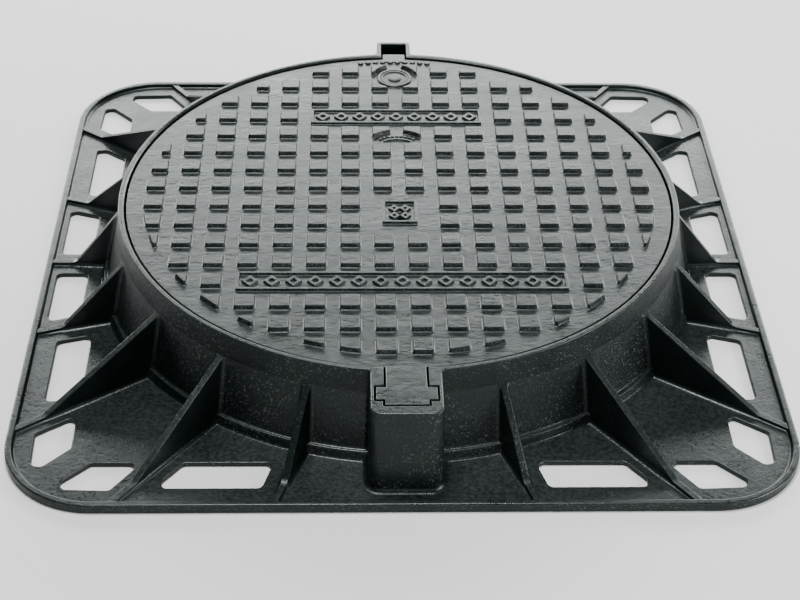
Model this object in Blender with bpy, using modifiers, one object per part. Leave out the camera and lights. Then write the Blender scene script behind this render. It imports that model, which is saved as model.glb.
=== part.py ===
"""Round manhole cover hinged in a square frame, for a roadway.

The frame is one iron casting: a square flange with rounded corners, a ring wall braced by
gusset ribs, a hinge box at the front (-Y) and a lifting pocket at the back (+Y).  The cover
is a second casting with a studded top.  Its T-shaped tongue lies in the hinge box, and the
cover turns about the T's crossbar.  A sealing ring sits between the two.  A quarter-turn
lock near the back edge turns a latch under the frame's seat.

Units are metres, +Z is up, and the origin is the centre of the frame on its underside.
"""

import math

import bmesh
import bpy
from mathutils import Matrix

MM = 0.001
GAP = 0.3 * MM                       # clearance kept between touching pieces

# Frame: flange plate
FRAME_SIDE = 850 * MM
CORNER_RADIUS = 102 * MM
FLOOR_Z = 5.5 * MM                   # upper face of the flange plate
LIP_Z = 11 * MM                      # top of the raised lip round the flange
LIP_WIDTH = 7.5 * MM

# Frame: ring wall
RIM_Z = 110 * MM
RIM_OUTER = 329.5 * MM
RIM_INNER = 323 * MM
BAND_Z = 82 * MM                     # lower edge of the upright band under the rim
BAND_RADIUS = 333 * MM
STEP_Z = 16 * MM                     # stepped foot of the wall
STEP_INNER = 348.5 * MM
STEP_OUTER = 353 * MM
FOOT_RADIUS = 356 * MM
WALL_THICKNESS = 8 * MM
OPENING_RADIUS = 300 * MM            # clear opening through the seat
SEAT_Z = 56 * MM
SEAT_THICKNESS = 10 * MM

# Frame: gusset ribs, one at each step except at the hinge box and the lifting pocket
RIB_STEPS = 20
RIB_THICKNESS = 6.5 * MM
RIB_FOOT = 389 * MM                  # the ribs come down to a square of this half side
RIDGE_Z = 9.5 * MM                   # low ridge from a rib's foot to the lip

# Frame: openings in the flange plate
HOLE_CORNER = 6 * MM
HOLE_INNER = 355 * MM
HOLE_OUTER = 393 * MM

# Hinge
HINGE_Y = -364.6 * MM
HINGE_Z = RIM_Z - 4 * MM
TRUNNION_RADIUS = 10.3 * MM
TRUNNION_HALF = 31.5 * MM
NECK_HALF = 21.2 * MM
TAIL_HALF = 22.5 * MM
TAIL_END = -382.4 * MM
TONGUE_DEPTH = 16 * MM
SOCKET_GAP = 2.2 * MM
SOCKET_DEPTH = 30 * MM
BOX_HALF = 37.5 * MM
BOX_FRONT = -397.6 * MM
BOX_SPLAY = 2.5 * MM                 # the box is this much wider at its foot, each side
BOX_CORNER = 9 * MM

# Lifting pocket
POCKET_HALF = 22 * MM
POCKET_END = 361.8 * MM
POCKET_WALL = 5.5 * MM
POCKET_FLOOR = 62 * MM
NIB_HALF = 14.8 * MM                 # the cover's nib stands in the pocket's mouth
NIB_END = 332 * MM
NIB_DEPTH = 9 * MM

# Cover
COVER_RADIUS = 320.7 * MM
PLATE_Z = RIM_Z - 3 * MM
PLATE_THICKNESS = 10 * MM
BEARING_INNER = 302 * MM
BEARING_Z = SEAT_Z + 4 * MM + GAP
WEB_Z = SEAT_Z + 2 * MM              # underside of the cover's stiffening ribs
WEB_THICKNESS = 8 * MM
WEBS = 8
WEB_REACH = 270 * MM                 # past this radius a web rises to the bearing ring

# Studs on the cover
STUD_PITCH = 38.35 * MM
STUD_ROWS = 16
STUD_BASE = 23.6 * MM
STUD_TOP = 20.6 * MM
STUD_HEIGHT = 5.5 * MM
STUD_FIELD = 301 * MM                # the stud field is trimmed to this radius
SMALLEST_STUD = 10 * MM              # a trimmed stud reaches at least this far into the field

# Plain panels and marks on the cover, all blank
PANEL_Y = 4.5 * STUD_PITCH
PANEL_DEPTH = 34 * MM
FRONT_COLUMNS = 10                   # the front panel is as long as this many studs
REAR_COLUMNS = 6
PANEL_BORDER = 4 * MM
PANEL_HEIGHT = 3.5 * MM
BADGE_WIDTH = 42 * MM
BADGE_DEPTH = 46 * MM
ARC_CENTRE_Y = 92 * MM
ARC_RADIUS = 42.5 * MM
PIP_RADIUS = 3 * MM
PIP_HEIGHT = 4 * MM
PIP_CIRCLE = 311 * MM
PIP_SPACING = 9.8 * MM
PIPS = 10

# Lock
LOCK_Y = 7 * STUD_PITCH
LOCK_CLEARING = 27 * MM              # studs are trimmed back from the lock to this radius
COLLAR_RADIUS = 22.5 * MM
COLLAR_Z = PLATE_Z + 4.5 * MM
CAP_RADIUS = 18 * MM
CAP_WALL = 2 * MM
SHANK_RADIUS = 9.6 * MM
STEM_RADIUS = 7 * MM
HEAD_RADIUS = 14.5 * MM
LOCK_FLOOR = 88 * MM                 # floor of the recess that holds the lock's head
HUB_RADIUS = 25 * MM
HUB_Z = 46 * MM
LATCH_TOP = 43.3 * MM
LATCH_THICKNESS = 7.7 * MM
LATCH_REACH = 38 * MM
LATCH_HALF = 12 * MM

ROUND_STEPS = 60                     # facets round the large circles
SMALL_STEPS = 20                     # facets round the lock's pieces
SINK = 1 * MM                        # how far one shape is sunk into the shape it joins
CASTING_SOLVER = "MANIFOLD"          # EXACT leaves open edges where the castings' ribs cross


# ---------------------------------------------------------------- scene and materials

def clear_scene():
    """Remove whatever the scene already holds."""
    for item in list(bpy.data.objects):
        bpy.data.objects.remove(item, do_unlink=True)


def new_collection(name):
    """Make a collection in the scene."""
    collection = bpy.data.collections.new(name)
    bpy.context.scene.collection.children.link(collection)
    return collection


def new_material(name, colour, metallic, roughness):
    """Make a plain Principled material."""
    material = bpy.data.materials.new(name)
    material.use_nodes = True
    shader = material.node_tree.nodes["Principled BSDF"]
    shader.inputs["Base Color"].default_value = (*colour, 1.0)
    shader.inputs["Metallic"].default_value = metallic
    shader.inputs["Roughness"].default_value = roughness
    return material


def new_object(name, mesh, collection):
    """Put a mesh in a collection as an object."""
    item = bpy.data.objects.new(name, mesh)
    collection.objects.link(item)
    return item


def make_guide(item):
    """Mark an object as a shape that only cuts or joins another."""
    item.hide_render = True
    item.display_type = "WIRE"
    return item


# ---------------------------------------------------------------- outlines

def rectangle(x_low, x_high, y_low, y_high):
    """Corners of a rectangle, anticlockwise."""
    return [(x_low, y_low), (x_high, y_low), (x_high, y_high), (x_low, y_high)]


def circle(radius, steps, centre=(0.0, 0.0)):
    """Points of a circle, anticlockwise, the first at +X."""
    turn = 2 * math.pi / steps
    return [
        (centre[0] + radius * math.cos(turn * i), centre[1] + radius * math.sin(turn * i))
        for i in range(steps)
    ]


def rounded(corners, radius, steps=3):
    """Replace each corner of a polygon by an arc of the given radius."""
    points = []
    count = len(corners)
    for i, (x, y) in enumerate(corners):
        before = corners[i - 1]
        after = corners[(i + 1) % count]
        to_before = math.atan2(before[1] - y, before[0] - x)
        to_after = math.atan2(after[1] - y, after[0] - x)
        half = abs(math.remainder(to_after - to_before, 2 * math.pi)) / 2
        setback = radius / math.tan(half)
        middle = math.atan2(
            math.sin(to_before) + math.sin(to_after), math.cos(to_before) + math.cos(to_after)
        )
        centre_x = x + radius / math.sin(half) * math.cos(middle)
        centre_y = y + radius / math.sin(half) * math.sin(middle)
        start = math.atan2(
            y + setback * math.sin(to_before) - centre_y,
            x + setback * math.cos(to_before) - centre_x,
        )
        end = math.atan2(
            y + setback * math.sin(to_after) - centre_y,
            x + setback * math.cos(to_after) - centre_x,
        )
        sweep = math.remainder(end - start, 2 * math.pi)
        for k in range(steps + 1):
            angle = start + sweep * k / steps
            points.append(
                (centre_x + radius * math.cos(angle), centre_y + radius * math.sin(angle))
            )
    return points


def mirrored(corners, flip_x, flip_y, swap):
    """Mirror a polygon in X, in Y and across the diagonal."""
    result = []
    for x, y in corners:
        if swap:
            x, y = y, x
        result.append((-x if flip_x else x, -y if flip_y else y))
    return result


# ---------------------------------------------------------------- solids

def weld(mesh):
    """Weld a mesh's touching points and split it into triangles, which are always flat."""
    shape = bmesh.new()
    shape.from_mesh(mesh)
    bmesh.ops.remove_doubles(shape, verts=shape.verts, dist=1e-6)
    bmesh.ops.triangulate(shape, faces=shape.faces)
    shape.to_mesh(mesh)
    shape.free()


def mesh_from_curve(name, curve_object, collection):
    """Turn a curve object into a mesh object with its caps welded, and remove the curve."""
    bpy.context.view_layer.update()
    graph = bpy.context.evaluated_depsgraph_get()
    mesh = bpy.data.meshes.new_from_object(curve_object.evaluated_get(graph))
    mesh.name = name
    weld(mesh)
    item = new_object(name, mesh, collection)
    item.matrix_world = curve_object.matrix_world.copy()
    bpy.data.objects.remove(curve_object, do_unlink=True)
    return item


def slab(name, loops, z_low, z_high, collection):
    """A flat outline, with any inner loops as holes, between two heights."""
    curve = bpy.data.curves.new(name + "_outline", "CURVE")
    curve.dimensions = "2D"
    curve.fill_mode = "BOTH"
    curve.extrude = (z_high - z_low) / 2
    for loop in loops:
        spline = curve.splines.new("POLY")
        spline.points.add(len(loop) - 1)
        for point, (x, y) in zip(spline.points, loop):
            point.co = (x, y, 0.0, 1.0)
        spline.use_cyclic_u = True
    outline = bpy.data.objects.new(name + "_outline", curve)
    collection.objects.link(outline)
    item = mesh_from_curve(name, outline, collection)
    item.data.transform(Matrix.Translation((0.0, 0.0, (z_low + z_high) / 2)))
    return item


def turned(name, profile, steps, collection, closed=True):
    """Turn a profile of (radius, height) points about the Z axis."""
    count = len(profile)
    edges = [(i, i + 1) for i in range(count - 1)]
    if closed:
        edges.append((count - 1, 0))
    mesh = bpy.data.meshes.new(name)
    mesh.from_pydata([(radius, 0.0, height) for radius, height in profile], edges, [])
    item = new_object(name, mesh, collection)
    screw = item.modifiers.new("turn", "SCREW")
    screw.axis = "Z"
    screw.angle = 2 * math.pi
    screw.steps = steps
    screw.render_steps = steps
    screw.use_merge_vertices = True
    screw.merge_threshold = 1e-6
    bpy.context.view_layer.update()
    graph = bpy.context.evaluated_depsgraph_get()
    solid = bpy.data.meshes.new_from_object(item.evaluated_get(graph))
    item.modifiers.clear()
    item.data = solid
    bpy.data.meshes.remove(mesh)
    solid.name = name
    weld(solid)
    return item


def move(item, x=0.0, y=0.0, z=0.0):
    """Shift an object's own shape."""
    item.data.transform(Matrix.Translation((x, y, z)))
    return item


def joined(name, items, collection):
    """Gather several meshes into one, each staying a separate body."""
    shape = bmesh.new()
    for item in items:
        shape.from_mesh(item.data)
        bpy.data.objects.remove(item, do_unlink=True)
    mesh = bpy.data.meshes.new(name)
    shape.to_mesh(mesh)
    shape.free()
    return new_object(name, mesh, collection)


def combine(target, other, operation, solver="EXACT"):
    """Add a Boolean of one object on another."""
    modifier = target.modifiers.new(other.name, "BOOLEAN")
    modifier.operation = operation
    modifier.solver = solver
    modifier.object = make_guide(other)


def merge_flats(item):
    """Merge the flat facets that the Booleans left in pieces."""
    modifier = item.modifiers.new("merge_flats", "DECIMATE")
    modifier.decimate_type = "DISSOLVE"
    modifier.angle_limit = math.radians(0.05)


def place_origin(item, x, y, z):
    """Put an object's origin on a point without moving its shape."""
    move(item, -x, -y, -z)
    item.location = (x, y, z)


def finish(item, material, smooth_angle=None):
    """Give an object its material, and smooth its round faces."""
    item.data.materials.clear()
    item.data.materials.append(material)
    if smooth_angle is not None:
        item.data.shade_smooth()
        item.data.set_sharp_from_angle(angle=math.radians(smooth_angle))


# ---------------------------------------------------------------- frame

def flange_holes():
    """The twenty openings of the flange: five in each quarter, two of them on the diagonal."""
    beside_axis = [
        (373 * MM, 20 * MM), (410 * MM, 20 * MM), (410 * MM, 113 * MM), (373 * MM, 101 * MM),
    ]
    beside_corner = [
        (HOLE_INNER, 139 * MM), (HOLE_OUTER, 150 * MM), (HOLE_OUTER, 254 * MM),
        (381 * MM, 254 * MM), (HOLE_INNER, 234 * MM),
    ]
    at_corner = [
        (HOLE_INNER, 288 * MM), (362 * MM, 284 * MM), (HOLE_OUTER + 3 * MM, 308 * MM),
        (HOLE_OUTER + 1 * MM, 357 * MM), (383 * MM, 360 * MM), (HOLE_INNER, 331 * MM),
    ]
    corners = []
    for flip_x in (False, True):
        for flip_y in (False, True):
            corners.append(mirrored(beside_axis, flip_x, flip_y, False))
            for swap in (False, True):
                corners.append(mirrored(beside_corner, flip_x, flip_y, swap))
                corners.append(mirrored(at_corner, flip_x, flip_y, swap))
    return [rounded(hole, HOLE_CORNER, 2) for hole in corners]


def flange_plate(guides):
    """The flange: a flat plate with its holes, open in the middle."""
    half = FRAME_SIDE / 2
    outer = rounded(rectangle(-half, half, -half, half), CORNER_RADIUS, 8)
    middle = circle(STEP_INNER, ROUND_STEPS)
    return slab("flange_plate", [outer, middle] + flange_holes(), 0.0, FLOOR_Z, guides)


def flange_lip(guides):
    """The raised lip that runs round the flange's edge."""
    half = FRAME_SIDE / 2
    inside = half - LIP_WIDTH
    outer = rounded(rectangle(-half, half, -half, half), CORNER_RADIUS, 8)
    inner = rounded(rectangle(-inside, inside, -inside, inside), CORNER_RADIUS - LIP_WIDTH, 8)
    return slab("flange_lip", [outer, inner], 2 * MM, LIP_Z, guides)


def ring_wall(guides):
    """The turned ring: rim, upright band, sloping wall, stepped foot and the cover's seat."""
    profile = [
        (RIM_OUTER, RIM_Z),
        (BAND_RADIUS, BAND_Z),
        (STEP_INNER, STEP_Z),
        (STEP_OUTER, STEP_Z),
        (FOOT_RADIUS, FLOOR_Z),
        (FOOT_RADIUS, 1 * MM),
        (STEP_INNER - WALL_THICKNESS, 1 * MM),
        (STEP_INNER - WALL_THICKNESS, STEP_Z),
        (BAND_RADIUS + WALL_THICKNESS / 4, 38 * MM),
        (OPENING_RADIUS + 2 * MM, SEAT_Z - SEAT_THICKNESS),
        (OPENING_RADIUS, SEAT_Z - SEAT_THICKNESS + 2 * MM),
        (OPENING_RADIUS, SEAT_Z),
        (RIM_INNER - 0.2 * MM, SEAT_Z),
        (RIM_INNER, RIM_Z),
    ]
    return turned("ring_wall", profile, ROUND_STEPS, guides)


def gusset_rib(index, guides):
    """One rib: it slopes from the ring to the flange and runs on as a ridge to the lip."""
    angle = 2 * math.pi * index / RIB_STEPS
    stretch = 1 / max(abs(math.cos(angle)), abs(math.sin(angle)))
    wall = BAND_RADIUS - WALL_THICKNESS / 2
    lip = FRAME_SIDE / 2 - LIP_WIDTH / 2
    side = [
        (wall, BAND_Z),
        (wall, 3 * MM),
        (lip * stretch, 3 * MM),
        (lip * stretch, RIDGE_Z),
        (RIB_FOOT * stretch, RIDGE_Z),
        (BAND_RADIUS, BAND_Z),
    ]
    rib = slab("rib_%02d" % index, [side], -RIB_THICKNESS / 2, RIB_THICKNESS / 2, guides)
    rib.data.transform(Matrix.Rotation(math.pi / 2, 4, "X"))
    rib.data.transform(Matrix.Rotation(angle, 4, "Z"))
    return rib


def gusset_ribs(guides):
    """All the ribs; the quarter turns at front and back belong to the box and the pocket."""
    taken = (RIB_STEPS // 4, 3 * RIB_STEPS // 4)
    ribs = [gusset_rib(i, guides) for i in range(RIB_STEPS) if i not in taken]
    return joined("gusset_ribs", ribs, guides)


def splayed(item, z_low, z_high, centre_y, amount, half):
    """Widen a block towards its foot, as a casting's draft does."""
    for vertex in item.data.vertices:
        share = (z_high - vertex.co.z) / (z_high - z_low)
        vertex.co.x *= 1 + share * amount / half
        vertex.co.y = centre_y + (vertex.co.y - centre_y) * (1 + share * amount / half)
    return item


def hinge_box(guides):
    """The box that holds the cover's tongue, standing out from the front of the ring."""
    outline = rounded(rectangle(-BOX_HALF, BOX_HALF, BOX_FRONT, -326 * MM), BOX_CORNER, 3)
    box = slab("hinge_box", [outline], 2 * MM, RIM_Z, guides)
    return splayed(box, FLOOR_Z, RIM_Z, -360 * MM, BOX_SPLAY, BOX_HALF)


def hinge_box_hollow(guides):
    """The hollow under the hinge socket, open at the frame's underside."""
    inside = BOX_HALF - 6 * MM
    outline = rounded(
        rectangle(-inside, inside, BOX_FRONT + 6 * MM, -(FOOT_RADIUS + SINK)), 4 * MM, 2
    )
    return slab("hinge_box_hollow", [outline], -SINK, RIM_Z - SOCKET_DEPTH - 8 * MM, guides)


def hinge_socket(guides):
    """The open slot that takes the tongue: a deep channel with a shallow arm at each side."""
    neck = NECK_HALF + SOCKET_GAP
    tail = TAIL_HALF + SOCKET_GAP
    front = TAIL_END - SOCKET_GAP
    ear_front = HINGE_Y - TRUNNION_RADIUS - 2 * MM
    ear_back = HINGE_Y + TRUNNION_RADIUS + 2 * MM
    channel = [
        (-tail, front), (tail, front), (tail, ear_front), (neck, ear_front),
        (neck, -316 * MM), (-neck, -316 * MM), (-neck, ear_front), (-tail, ear_front),
    ]
    ear = TRUNNION_HALF + SOCKET_GAP
    arms = rectangle(-ear, ear, ear_front, ear_back)
    deep = slab("socket_channel", [channel], RIM_Z - SOCKET_DEPTH, RIM_Z + SINK, guides)
    shallow_floor = HINGE_Z - TRUNNION_RADIUS - GAP
    shallow = slab("socket_arms", [arms], shallow_floor, RIM_Z + SINK, guides)
    return deep, shallow


def lifting_pocket(guides):
    """The block at the back of the ring that holds the lifting pocket."""
    outline = rounded(
        rectangle(-POCKET_HALF, POCKET_HALF, 326 * MM, POCKET_END), 4 * MM, 2
    )
    block = slab("pocket_block", [outline], 2 * MM, RIM_Z, guides)
    return splayed(block, FLOOR_Z, RIM_Z, 344 * MM, 1.5 * MM, POCKET_HALF)


def pocket_hollow(guides):
    """The pocket's hollow, open at the top and through the ring towards the cover."""
    inside = POCKET_HALF - POCKET_WALL
    outline = rectangle(-inside, inside, 316 * MM, POCKET_END - POCKET_WALL)
    return slab("pocket_hollow", [outline], POCKET_FLOOR, RIM_Z + SINK, guides)


def build_frame(parts, guides, iron):
    """The whole frame casting."""
    frame = flange_plate(parts)
    frame.name = "frame"
    deep, shallow = hinge_socket(guides)
    for addition in (flange_lip(guides), ring_wall(guides), gusset_ribs(guides)):
        combine(frame, addition, "UNION", CASTING_SOLVER)
    for addition in (hinge_box(guides), lifting_pocket(guides)):
        combine(frame, addition, "UNION", CASTING_SOLVER)
    for removal in (hinge_box_hollow(guides), deep, shallow, pocket_hollow(guides)):
        combine(frame, removal, "DIFFERENCE", CASTING_SOLVER)
    merge_flats(frame)
    finish(frame, iron)
    return frame


# ---------------------------------------------------------------- cover

def cover_body(parts):
    """The turned plate with its downturned bearing ring."""
    under = PLATE_Z - PLATE_THICKNESS
    profile = [
        (0.0, PLATE_Z),
        (COVER_RADIUS, PLATE_Z),
        (COVER_RADIUS - 1 * MM, BEARING_Z),
        (BEARING_INNER, BEARING_Z),
        (BEARING_INNER - 3 * MM, under),
        (0.0, under),
    ]
    return turned("cover", profile, ROUND_STEPS, parts, closed=False)


def cover_webs(guides):
    """Radial stiffening ribs under the plate, each made as one bar across the cover."""
    top = PLATE_Z - PLATE_THICKNESS / 2
    reach = BEARING_INNER + 4 * MM
    end = BEARING_Z + 2 * MM
    bar = [
        (-reach, end), (-WEB_REACH, WEB_Z), (WEB_REACH, WEB_Z), (reach, end), (reach, top),
        (-reach, top),
    ]
    webs = []
    for i in range(WEBS // 2):
        web = slab("web_%d" % i, [bar], -WEB_THICKNESS / 2, WEB_THICKNESS / 2, guides)
        web.data.transform(Matrix.Rotation(math.pi / 2, 4, "X"))
        web.data.transform(Matrix.Rotation(2 * math.pi * i / WEBS, 4, "Z"))
        webs.append(web)
    return webs


def stud_centres():
    """Centres of the studs kept: those inside the field and clear of the panels and badge."""
    centres = []
    middle = (STUD_ROWS - 1) / 2
    for row in range(STUD_ROWS):
        for column in range(STUD_ROWS):
            x = (column - middle) * STUD_PITCH
            y = (row - middle) * STUD_PITCH
            near = math.hypot(abs(x) - STUD_BASE / 2, abs(y) - STUD_BASE / 2)
            outside = near > STUD_FIELD - SMALLEST_STUD
            if not (outside or in_front_panel(x, y) or in_rear_panel(x, y) or in_badge(x, y)):
                centres.append((x, y))
    return centres


def panel_half(columns):
    """Half the length of a panel that takes the place of this many studs in a row."""
    return ((columns - 1) * STUD_PITCH + STUD_BASE) / 2


def in_front_panel(x, y):
    """Whether a stud would stand in the long front panel."""
    return abs(y + PANEL_Y) < STUD_PITCH / 2 and abs(x) < panel_half(FRONT_COLUMNS)


def in_rear_panel(x, y):
    """Whether a stud would stand in the short rear panel."""
    return abs(y - PANEL_Y) < STUD_PITCH / 2 and abs(x) < panel_half(REAR_COLUMNS)


def in_badge(x, y):
    """Whether a stud would stand in the blank badge just in front of the centre."""
    return abs(y + STUD_PITCH) < STUD_PITCH and abs(x) < STUD_PITCH


def studs(guides):
    """The square studs, with sloping sides, trimmed to a round field."""
    shape = bmesh.new()
    low = PLATE_Z - SINK
    high = PLATE_Z + STUD_HEIGHT
    slope = (STUD_BASE - STUD_TOP) / STUD_HEIGHT
    foot = STUD_BASE + slope * SINK
    for x, y in stud_centres():
        made = bmesh.ops.create_cube(shape, size=1.0)
        for vertex in made["verts"]:
            upper = vertex.co.z > 0
            width = STUD_TOP if upper else foot
            vertex.co = (x + vertex.co.x * width, y + vertex.co.y * width, high if upper else low)
    mesh = bpy.data.meshes.new("studs")
    shape.to_mesh(mesh)
    shape.free()
    field = new_object("studs", mesh, guides)
    trim = slab("stud_field", [circle(STUD_FIELD, ROUND_STEPS)], low - SINK, high + SINK, guides)
    combine(field, trim, "INTERSECT")
    clearing = circle(LOCK_CLEARING, SMALL_STEPS, (0.0, LOCK_Y))
    combine(field, slab("lock_clearing", [clearing], low - SINK, high + SINK, guides), "DIFFERENCE")
    combine(field, arc_clearing(low - SINK, high + SINK, guides), "DIFFERENCE")
    return make_guide(field)


def arc_clearing(low, high, guides):
    """The round bite taken from two studs behind the small arc."""
    reach = math.radians(57)
    steps = 6
    outline = []
    for k in range(steps + 1):
        angle = math.pi / 2 - reach + 2 * reach * k / steps
        outline.append(
            (ARC_RADIUS * math.cos(angle), ARC_CENTRE_Y + ARC_RADIUS * math.sin(angle))
        )
    return slab("arc_clearing", [outline], low, high, guides)


def border(name, half_x, centre_y, half_y, guides):
    """A raised rectangular border round a blank panel."""
    outer = rectangle(-half_x, half_x, centre_y - half_y, centre_y + half_y)
    inner = rectangle(
        PANEL_BORDER - half_x, half_x - PANEL_BORDER,
        centre_y - half_y + PANEL_BORDER, centre_y + half_y - PANEL_BORDER,
    )
    return slab(name, [outer, inner], PLATE_Z - SINK, PLATE_Z + PANEL_HEIGHT, guides)


def small_arc(guides):
    """The plain raised arc between the two bitten studs."""
    reach = math.radians(38)
    steps = 8
    outline = []
    for radius, turn in ((ARC_RADIUS - 3 * MM, 1), (ARC_RADIUS - 9 * MM, -1)):
        for k in range(steps + 1):
            angle = math.pi / 2 + turn * (reach - 2 * reach * k / steps)
            outline.append((radius * math.cos(angle), ARC_CENTRE_Y + radius * math.sin(angle)))
    return slab("small_arc", [outline], PLATE_Z - SINK, PLATE_Z + 3 * MM, guides)


def pips(guides):
    """A row of plain pips along the back edge."""
    made = []
    for i in range(PIPS):
        angle = math.pi / 2 + (i - (PIPS - 1) / 2) * PIP_SPACING / PIP_CIRCLE
        centre = (PIP_CIRCLE * math.cos(angle), PIP_CIRCLE * math.sin(angle))
        loop = circle(PIP_RADIUS, 8, centre)
        made.append(slab("pip_%d" % i, [loop], PLATE_Z - SINK, PLATE_Z + PIP_HEIGHT, guides))
    return joined("pips", made, guides)


def tongue_neck(guides):
    """The neck and tail of the T, flush with the frame's rim."""
    outline = [
        (-TAIL_HALF, TAIL_END), (TAIL_HALF, TAIL_END), (TAIL_HALF, HINGE_Y), (NECK_HALF, HINGE_Y),
        (NECK_HALF, -(COVER_RADIUS + 1.5 * MM)), (-NECK_HALF, -(COVER_RADIUS + 1.5 * MM)),
        (-NECK_HALF, HINGE_Y), (-TAIL_HALF, HINGE_Y),
    ]
    return slab("tongue_neck", [outline], RIM_Z - TONGUE_DEPTH + 2 * MM, RIM_Z, guides)


def tongue_root(guides):
    """The thick root that joins the neck to the cover's edge."""
    outline = rectangle(-NECK_HALF, NECK_HALF, -340 * MM, -308 * MM)
    return slab("tongue_root", [outline], RIM_Z - TONGUE_DEPTH, PLATE_Z - SINK, guides)


def crossbar(guides):
    """The round crossbar the cover turns on, cut flat level with the rim."""
    low = -(RIM_Z - HINGE_Z)
    flat = math.acos(-low / TRUNNION_RADIUS)
    steps = 20
    outline = []
    for k in range(steps + 1):
        angle = math.pi / 2 + flat + (2 * math.pi - 2 * flat) * k / steps
        outline.append((TRUNNION_RADIUS * math.cos(angle), TRUNNION_RADIUS * math.sin(angle)))
    bar = slab("crossbar", [outline], -TRUNNION_HALF, TRUNNION_HALF, guides)
    bar.data.transform(Matrix.Rotation(math.pi / 2, 4, "X"))
    bar.data.transform(Matrix.Rotation(math.pi / 2, 4, "Z"))
    return move(bar, 0.0, HINGE_Y, HINGE_Z)


def nib(guides):
    """The short lip at the back edge that a lifting bar hooks under."""
    outline = rectangle(-NIB_HALF, NIB_HALF, COVER_RADIUS - 9 * MM, NIB_END)
    return slab("nib", [outline], PLATE_Z - NIB_DEPTH, PLATE_Z + 1 * MM, guides)


def lock_hub(guides):
    """The thickened hub that carries the lock, with a collar standing on the plate."""
    profile = [(0.0, COLLAR_Z), (COLLAR_RADIUS, COLLAR_Z), (COLLAR_RADIUS, PLATE_Z - 2 * SINK)]
    profile += [(HUB_RADIUS, PLATE_Z - 2 * SINK), (HUB_RADIUS, HUB_Z), (0.0, HUB_Z)]
    return move(turned("lock_hub", profile, SMALL_STEPS, guides, closed=False), y=LOCK_Y)


def lock_bore(guides):
    """The stepped bore through the hub: a wide recess above and a running bore below."""
    wide = CAP_RADIUS + GAP
    narrow = SHANK_RADIUS + GAP
    profile = [(0.0, COLLAR_Z + SINK), (wide, COLLAR_Z + SINK), (wide, LOCK_FLOOR)]
    profile += [(narrow, LOCK_FLOOR), (narrow, HUB_Z - SINK), (0.0, HUB_Z - SINK)]
    return move(turned("lock_bore", profile, SMALL_STEPS, guides, closed=False), y=LOCK_Y)


def build_cover(parts, guides, iron):
    """The whole cover casting."""
    cover = cover_body(parts)
    additions = cover_webs(guides)
    additions += [lock_hub(guides), studs(guides), pips(guides), nib(guides)]
    additions += [tongue_root(guides), tongue_neck(guides), crossbar(guides), small_arc(guides)]
    additions.append(border("front_panel", panel_half(FRONT_COLUMNS), -PANEL_Y, PANEL_DEPTH / 2, guides))
    additions.append(border("rear_panel", panel_half(REAR_COLUMNS), PANEL_Y, PANEL_DEPTH / 2, guides))
    additions.append(border("badge", BADGE_WIDTH / 2, -STUD_PITCH, BADGE_DEPTH / 2, guides))
    for addition in additions:
        combine(cover, addition, "UNION", CASTING_SOLVER)
    combine(cover, lock_bore(guides), "DIFFERENCE", CASTING_SOLVER)
    merge_flats(cover)
    place_origin(cover, 0.0, HINGE_Y, HINGE_Z)
    finish(cover, iron)
    return cover


# ---------------------------------------------------------------- seal and lock

def build_gasket(parts, rubber):
    """The flat sealing ring on the frame's seat."""
    low = SEAT_Z + GAP
    high = BEARING_Z - GAP
    inner = BEARING_INNER
    outer = COVER_RADIUS - 0.5 * MM
    profile = [(outer, high), (outer, low), (inner, low), (inner, high)]
    gasket = turned("seat_gasket", profile, ROUND_STEPS, parts)
    finish(gasket, rubber, 30)
    return gasket


def place_on_lock(item):
    """Put a lock piece on the lock's axis."""
    item.location = (0.0, LOCK_Y, 0.0)
    return item


def build_cap(parts, plastic):
    """The push-in cap that keeps dirt out of the lock, with a grip disc in the middle."""
    top = COLLAR_Z - 0.5 * MM
    profile = [
        (0.0, top + 0.7 * MM), (8.6 * MM, top + 0.7 * MM), (8.6 * MM, top - 1.3 * MM),
        (15.4 * MM, top - 1.3 * MM), (15.4 * MM, top), (CAP_RADIUS, top),
        (CAP_RADIUS, LOCK_FLOOR + 10 * MM), (CAP_RADIUS - CAP_WALL, LOCK_FLOOR + 10 * MM),
        (CAP_RADIUS - CAP_WALL, top - 4 * MM), (0.0, top - 4 * MM),
    ]
    cap = place_on_lock(turned("lock_cap", profile, SMALL_STEPS, parts, closed=False))
    finish(cap, plastic, 30)
    return cap


def build_seal(parts, rubber):
    """The sealing ring under the lock spindle's head."""
    low = LOCK_FLOOR + GAP
    high = low + 2.7 * MM
    inner = SHANK_RADIUS + GAP + 0.4 * MM
    outer = HEAD_RADIUS + 1.5 * MM
    profile = [(outer, high), (outer, low), (inner, low), (inner, high)]
    seal = place_on_lock(turned("lock_seal", profile, SMALL_STEPS, parts))
    finish(seal, rubber, 30)
    return seal


def build_spindle(parts, guides, steel):
    """The lock spindle: six-sided drive, head, shank and a thinner stem for the latch."""
    head_low = LOCK_FLOOR + 2 * GAP + 2.7 * MM
    head_high = head_low + 4 * MM
    profile = [
        (0.0, head_high), (HEAD_RADIUS, head_high), (HEAD_RADIUS, head_low),
        (SHANK_RADIUS, head_low), (SHANK_RADIUS, LATCH_TOP + GAP),
        (STEM_RADIUS, LATCH_TOP + GAP), (STEM_RADIUS, 20 * MM), (0.0, 20 * MM),
    ]
    spindle = turned("lock_spindle", profile, SMALL_STEPS, parts, closed=False)
    drive = slab("drive", [circle(8 * MM, 6)], head_high - SINK, head_high + 8 * MM, guides)
    place_on_lock(drive)
    place_on_lock(spindle)
    combine(spindle, drive, "UNION")
    finish(spindle, steel)
    return spindle


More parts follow.
